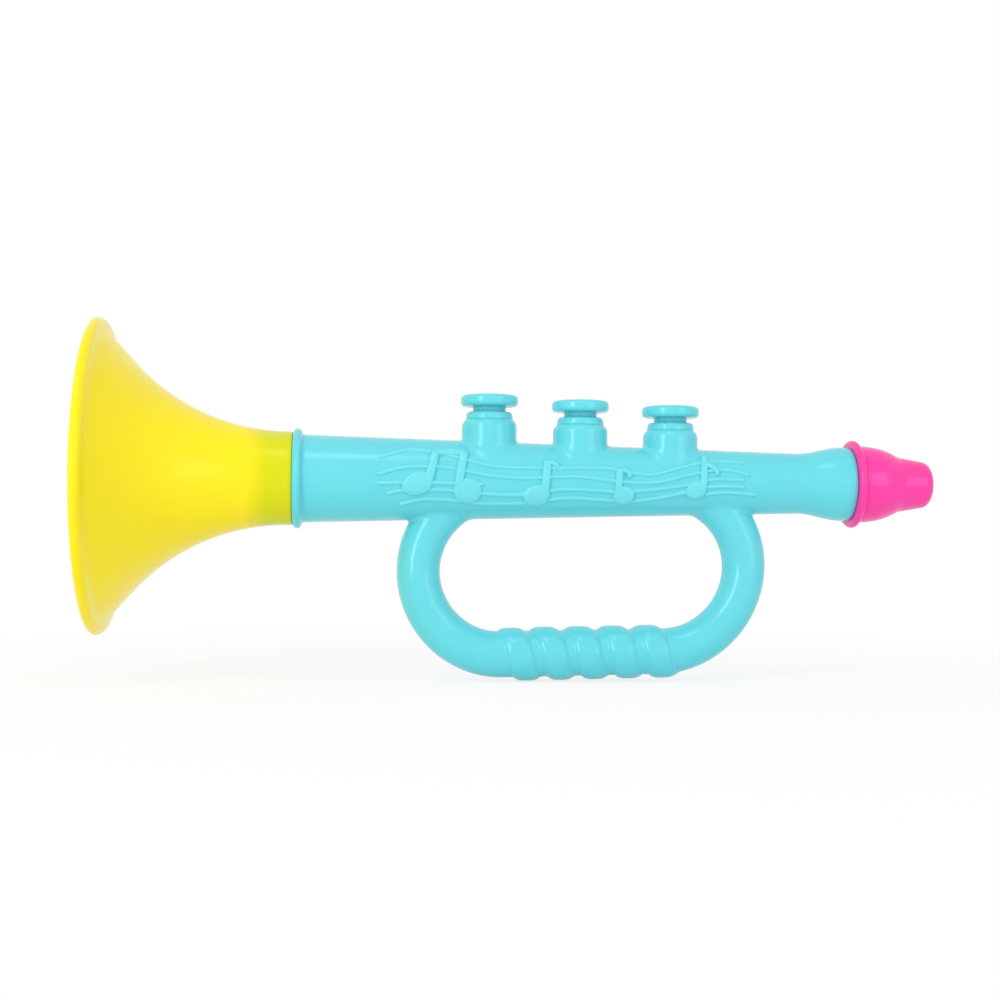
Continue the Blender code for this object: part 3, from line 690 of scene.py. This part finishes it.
def smooth_line(places, step):
    """Points a step apart on a smooth line through the places."""
    path = unrolled(places)
    dense = []
    padded = np.vstack([2 * path[0] - path[1], path, 2 * path[-1] - path[-2]])
    for a, b, c, d in zip(padded, padded[1:], padded[2:], padded[3:]):
        for t in np.linspace(0, 1, 12, endpoint=False):
            dense.append(0.5 * (
                2 * b + (c - a) * t + (2 * a - 5 * b + 4 * c - d) * t ** 2
                + (3 * b - a - 3 * c + d) * t ** 3
            ))
    dense = np.array(dense + [path[-1]])
    lengths = np.concatenate([[0], np.cumsum(np.linalg.norm(np.diff(dense, axis=0), axis=1))])
    wanted = np.linspace(0, lengths[-1], max(6, round(lengths[-1] / step)))
    return np.stack([np.interp(wanted, lengths, dense[:, k]) for k in (0, 1)], 1), wanted


# Sections of the raised lines: places across as shares of half the width, and shares of the height
ACROSS = [-1.0, -0.93, -0.8, -0.62, -0.4, 0.0, 0.4, 0.62, 0.8, 0.93, 1.0]
ROUND_TOP = [-0.1, 0.1, 0.4, 0.7, 0.9, 1.0, 0.9, 0.7, 0.4, 0.1, -0.1]
FLAT_TOP = [-0.1, 0.42, 0.82, 0.97, 1.0, 1.0, 1.0, 0.97, 0.82, 0.42, -0.1]
FOOT_ACROSS = (0.9, -0.9)
# Section of a note's head: shares of its size and of its height, with the foot in the tube's wall
HEAD_TOP = [
    (0.0, 1.0), (0.35, 0.99), (0.6, 0.96), (0.78, 0.88), (0.9, 0.68), (0.97, 0.35), (1.02, -0.1),
    (0.95, -0.7),
]


def strip(places, width, height, side, profile):
    """A raised line on the tube with rounded edges and rounded ends."""
    path, run = smooth_line(places, LINE_STEP)
    end = width / 2
    path_ahead = np.gradient(path, axis=0)
    path_ahead /= np.linalg.norm(path_ahead, axis=1)[:, None]
    extra = [1 - math.cos(t) for t in np.linspace(0, math.pi / 2, 5)]
    total = run[-1]
    stops = [end * e for e in extra[:-1]] + [r for r in run if end < r < total - end]
    stops += [total - end * e for e in reversed(extra[:-1])]
    rings = []
    for stop in stops:
        here = np.array([np.interp(stop, run, path[:, k]) for k in (0, 1)])
        ahead = np.array([np.interp(stop, run, path_ahead[:, k]) for k in (0, 1)])
        ahead /= np.linalg.norm(ahead)
        left = np.array((-ahead[1], ahead[0]))
        near = min(stop, total - stop) / end
        share = math.sqrt(max(0.02, 1 - (1 - min(1.0, near)) ** 2))
        ring = []
        for across, level in zip(ACROSS, profile):
            x, way = here + left * across * width / 2 * share
            ring.append(on_tube(x, way, height * level * min(1.0, share * 1.1), side))
        for across in FOOT_ACROSS:
            x, way = here + left * across * width / 2 * share
            ring.append(on_tube(x, way, -STAFF_SINK, side))
        rings.append(ring)
    return loft(rings)


def head(x, rise, long, short, tilt, side):
    """A note's head: a low rounded button on the tube."""
    (x, way), = unrolled([(x, rise)])
    tilt = math.radians(tilt)
    rings = []
    for share, level in HEAD_TOP:
        ring = []
        for turn in np.linspace(0, math.tau, HEAD_SIDES, endpoint=False):
            a, b = long * share * math.cos(turn), short * share * math.sin(turn)
            dx = a * math.cos(tilt) - b * math.sin(tilt)
            dw = a * math.sin(tilt) + b * math.cos(tilt)
            ring.append(on_tube(x + dx, way + dw, HEAD_HEIGHT * level, side))
        rings.append(ring)
    return loft(rings)


def relief(side):
    """All the raised lines and notes on one side of the tube."""
    made = [strip(line, LINE_WIDTH, LINE_HEIGHT, side, ROUND_TOP) for line in STAFF]
    made += [strip(line, width, STEM_HEIGHT, side, FLAT_TOP) for width, line in STEMS]
    return made + [head(*places, side) for places in HEADS]


def make_body():
    for name, side in (("left", -1), ("right", 1)):
        bodies = [half_tube(side), half_handle(side)]
        bodies += [half_casing(x, top, side) for x, top in VALVES]
        shell = f"body_{name}_shell"
        piece(f"body_{name}_skin", bodies, CYAN, "body", [shell], 45)
        piece(f"music_staff_{name}", relief(side), RAISED_PAINTED_HIGHLIGHT, "body", (), 60)


# Valves

def button_outline():
    edge = CAP_RADIUS - CAP_ROUND
    line = [(edge * t, CAP_TOP - CAP_CROWN * t * t) for t in np.linspace(0, 0.96, 9)]
    line += arc(edge, CAP_TOP - CAP_CROWN - CAP_ROUND, CAP_ROUND, 82, 0, 9)
    line += arc(edge, CAP_LOW + CAP_ROUND, CAP_ROUND, 0, -84, 9)
    line += arc(HUB_RADIUS + HUB_FILLET, CAP_LOW - HUB_FILLET, HUB_FILLET, 90, 180, 6)
    line += [(HUB_RADIUS, HUB_LOW + HUB_EDGE), (HUB_RADIUS - HUB_EDGE, HUB_LOW)]
    return line + [(STEM_BORE, HUB_LOW), (STEM_BORE, SOCKET_TOP), (0.0, SOCKET_TOP)]


def collar_outline():
    return softened([
        (COLLAR_RADIUS, 0.0, COLLAR_ROUND),
        (COLLAR_RADIUS + COLLAR_FLARE, CASING_TOP + TOUCH, GUIDE_EDGE),
        (SKIRT_RADIUS, CASING_TOP + TOUCH, 0.0),
        (SKIRT_RADIUS, SKIRT_LOW, SKIRT_EDGE),
        (STEM_BORE, SKIRT_LOW, GUIDE_EDGE),
        (STEM_BORE, COUNTER_LOW, GUIDE_EDGE),
        (COUNTER_RADIUS, COUNTER_LOW, 0.0),
        (COUNTER_RADIUS, 0.0, SKIRT_EDGE),
    ])


# The flat end turns are shares of a turn. The ease softens where the wire starts to climb
COIL_STEPS, COIL_TURNS, END_TURN, COIL_EASE = 144, 4.75, 0.7, 0.25


def coil(x, top):
    """A compression spring with its end turns laid flat."""
    low, high = top + SPRING_LOW + WIRE, top + SPRING_LOW + SPRING_LENGTH - WIRE
    rings = []
    for t in np.linspace(0, 1, COIL_STEPS + 1):
        climb = min(1.0, max(0.0, (t * COIL_TURNS - END_TURN) / (COIL_TURNS - 2 * END_TURN)))
        eased = climb * climb * (3 - 2 * climb)
        rise = eased * COIL_EASE + climb * (1 - COIL_EASE)
        turn = math.tau * COIL_TURNS * t
        ring = []
        for k in range(WIRE_SIDES):
            a = math.tau * k / WIRE_SIDES
            radius = SPRING_RADIUS + WIRE * math.cos(a)
            height = low + (high - low) * rise + WIRE * math.sin(a)
            ring.append((x + radius * math.cos(turn), radius * math.sin(turn), height))
        rings.append(ring)
    return loft(rings)


def make_valves():
    for i, (x, top) in enumerate(VALVES):
        n = i + 1
        piece(f"valve_cap_{n}", [revolved(button_outline(), VALVE_SIDES, (x, top))], CYAN, f"valve_{n}",
              [f"valve_button_{n}"], 50)
        piece(f"valve_ring_{n}", [revolved(collar_outline(), VALVE_SIDES, (x, top))], CYAN, "body",
              [f"valve_collar_{n}"], 50)
        spring = piece(f"valve_coil_{n}", [coil(x, top)], STEEL, "body",
                       [f"valve_spring_{n}"], 60)
        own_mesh(spring)
        dress(f"valve_piston_{n}", WHITE)


# Mouthpiece and its reed

def dome_radius(share):
    """Radius of the dome at a share of its length from the flange."""
    return TIP_RADIUS + (DOME_RADIUS - TIP_RADIUS) * (1 - share ** DOME_POWER)


def mouthpiece_outline():
    """Half section of the mouthpiece: tip, dome, flange, plug and chamber."""
    half = FLANGE_WIDTH / 2
    dome_x = FLANGE_X + FLANGE_WIDTH
    tip_x = dome_x + DOME_LENGTH
    tip_end = tip_x + TIP_LENGTH
    mouth = TIP_RADIUS - TIP_TAPER
    line = [(BLOW_RADIUS + 0.15, tip_end - 0.15), (BLOW_RADIUS + BLOW_EDGE, tip_end)]
    line += arc(mouth - TIP_ROUND, tip_end - TIP_ROUND, TIP_ROUND, 88, 4, 12)
    share = 1 - TIP_BLEND / DOME_LENGTH
    outer = (TIP_RADIUS - TIP_TAPER * TIP_BLEND / (TIP_LENGTH - TIP_ROUND), tip_x + TIP_BLEND)
    inner = (dome_radius(share), tip_x - TIP_BLEND)
    line += bent(outer, (TIP_RADIUS, tip_x), inner, 6)
    for t in np.linspace(share, 0.03, 18)[1:]:
        line.append((dome_radius(t), dome_x + DOME_LENGTH * t))
    line += arc(FLANGE_RADIUS - half, FLANGE_X + half, half, 80, -90, 14)
    line += [(PLUG_RADIUS, FLANGE_X), (PLUG_RADIUS, PLUG_X + PLUG_EDGE)]
    line += [(PLUG_RADIUS - PLUG_EDGE, PLUG_X), (CHAMBER_RADIUS, PLUG_X)]
    line += [(CHAMBER_RADIUS, CHAMBER_END), (BLOW_RADIUS, CHAMBER_END)]
    return line + [(BLOW_RADIUS, tip_end - BLOW_EDGE)]


def make_mouthpiece():
    piece("mouthpiece_skin", [revolved(mouthpiece_outline(), MOUTH_SIDES)], PINK, "body",
          ["mouthpiece"], 50)
    dress("reed_bush", WHITE)
    dress("reed_shallot", WHITE)
    dress("reed_wedge", WHITE)
    dress("reed_tongue", BRASS)


def dress(name, material):
    """A finish for a CAD node whose own shape is shown."""
    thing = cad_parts[name]
    if not thing.material_slots:
        thing.data.materials.append(material)
    thing.material_slots[0].material = material


# Floor, light and camera, in metres and degrees

FLOOR_HALF, FLOOR_DROP = 4.0, 0.0002
# The floor's own shade goes over to plain white between these distances from the middle
FADE_NEAR, FADE_FAR, NEAR_WHITE = 0.12, 0.30, 0.80
AMBIENT = 0.72
LAMP_DISTANCE = 0.95
# Name, azimuth, elevation, width, height and power of each soft box
LAMPS = [
    ("soft_box_left", -40, 18, 0.22, 0.75, 3.0),
    ("soft_box_right", 40, 12, 0.40, 0.60, 1.3),
    ("soft_box_top", -12, 62, 0.30, 0.25, 0.7),
]
CAMERA_YAW, CAMERA_RISE, CAMERA_ROLL = 5.3, -1.0, 0.46
CAMERA_DISTANCE, SENSOR_WIDTH, FOCAL_LENGTH = 0.5045, 36.0, 56.52
AIM_X, AIM_DROP = -0.00705, 0.00625
CLIP_NEAR, CLIP_FAR = 0.01, 50.0


def white_ray(tree):
    """One for rays that are seen, mirrored or passed through, and nothing for the light that falls."""
    path = tree.nodes.new("ShaderNodeLightPath")
    share = path.outputs["Is Camera Ray"]
    for name in ("Is Glossy Ray", "Is Transmission Ray"):
        both = tree.nodes.new("ShaderNodeMath")
        both.operation = 'MAXIMUM'
        tree.links.new(share, both.inputs[0])
        tree.links.new(path.outputs[name], both.inputs[1])
        share = both.outputs[0]
    return share


def make_stage():
    """A pale floor that goes over to plain white away from the object and keeps its shadow."""
    mesh = bpy.data.meshes.new("floor")
    half = FLOOR_HALF
    corners = [(-half, -half, 0), (half, -half, 0), (half, half, 0), (-half, half, 0)]
    mesh.from_pydata(corners, [], [(0, 1, 2, 3)])
    floor = bpy.data.objects.new("floor", mesh)
    bpy.context.scene.collection.objects.link(floor)
    floor.location.z = -FLOOR_DROP
    paper = bpy.data.materials.new("pale_floor")
    paper.use_nodes = True
    tree = paper.node_tree
    shader = tree.nodes["Principled BSDF"]
    shader.inputs["Base Color"].default_value = (0.96, 0.96, 0.96, 1.0)
    shader.inputs["Roughness"].default_value = 0.9
    shader.inputs["Specular IOR Level"].default_value = 0.0
    glow = node(tree, "ShaderNodeEmission", Strength=1.0)
    place = tree.nodes.new("ShaderNodeTexCoord").outputs["Object"]
    length = tree.nodes.new("ShaderNodeVectorMath")
    length.operation = 'LENGTH'
    tree.links.new(place, length.inputs[0])
    share = tree.nodes.new("ShaderNodeMath")
    share.operation = 'MULTIPLY'
    white = ranged(tree, length.outputs["Value"], FADE_NEAR, FADE_FAR, NEAR_WHITE, 1.0)
    tree.links.new(white, share.inputs[0])
    tree.links.new(white_ray(tree), share.inputs[1])
    mix = tree.nodes.new("ShaderNodeMixShader")
    tree.links.new(share.outputs[0], mix.inputs[0])
    tree.links.new(shader.outputs[0], mix.inputs[1])
    tree.links.new(glow.outputs[0], mix.inputs[2])
    tree.links.new(mix.outputs[0], tree.nodes["Material Output"].inputs["Surface"])
    mesh.materials.append(paper)


def make_world():
    """Even light from all sides, seen as plain white."""
    world = bpy.data.worlds.new("studio")
    bpy.context.scene.world = world
    world.use_nodes = True
    tree = world.node_tree
    tree.nodes.clear()
    ambient = node(tree, "ShaderNodeBackground", Strength=AMBIENT)
    white = node(tree, "ShaderNodeBackground", Strength=1.0)
    for shade in (ambient, white):
        shade.inputs["Color"].default_value = (1.0, 1.0, 1.0, 1.0)
    mix = tree.nodes.new("ShaderNodeMixShader")
    tree.links.new(white_ray(tree), mix.inputs[0])
    tree.links.new(ambient.outputs[0], mix.inputs[1])
    tree.links.new(white.outputs[0], mix.inputs[2])
    out = tree.nodes.new("ShaderNodeOutputWorld")
    tree.links.new(mix.outputs[0], out.inputs["Surface"])


def lamp(name, azimuth, elevation, width, height, power):
    """A soft box that faces the object, its direction given as seen from the front."""
    light = bpy.data.lights.new(name, 'AREA')
    light.shape = 'RECTANGLE'
    light.size, light.size_y = width, height
    light.energy = power
    thing = bpy.data.objects.new(name, light)
    bpy.context.scene.collection.objects.link(thing)
    a, e = math.radians(azimuth), math.radians(elevation)
    out = Vector((math.sin(a) * math.cos(e), -math.cos(a) * math.cos(e), math.sin(e)))
    thing.location = Vector((0.0, 0.0, AXIS_Z)) + out * LAMP_DISTANCE
    thing.rotation_mode = 'QUATERNION'
    thing.rotation_quaternion = (-out).to_track_quat('-Z', 'Y')


def make_camera():
    """The photograph's view: bell a little nearer, eye just under the middle of the tube."""
    yaw, rise, roll = (math.radians(turn) for turn in (CAMERA_YAW, CAMERA_RISE, CAMERA_ROLL))
    ahead = Vector((math.sin(yaw) * math.cos(rise), math.cos(yaw) * math.cos(rise), -math.sin(rise)))
    level = Vector((math.cos(yaw), -math.sin(yaw), 0.0))
    upright = level.cross(ahead)
    right = level * math.cos(roll) + upright * math.sin(roll)
    up = upright * math.cos(roll) - level * math.sin(roll)
    lens = bpy.data.cameras.new("photo_view")
    lens.sensor_width = SENSOR_WIDTH
    lens.lens = FOCAL_LENGTH
    lens.clip_start, lens.clip_end = CLIP_NEAR, CLIP_FAR
    camera = bpy.data.objects.new("photo_view", lens)
    bpy.context.scene.collection.objects.link(camera)
    turn = Matrix((right, up, -ahead)).transposed().to_4x4()
    aim = Vector((AIM_X, 0.0, AXIS_Z - AIM_DROP))
    camera.matrix_world = Matrix.Translation(aim - ahead * CAMERA_DISTANCE) @ turn
    bpy.context.scene.camera = camera


make_bell()
make_body()
make_valves()
make_mouthpiece()
make_stage()
make_world()
for soft_box in LAMPS:
    lamp(*soft_box)
make_camera()
bpy.context.scene.view_settings.view_transform = 'Standard'
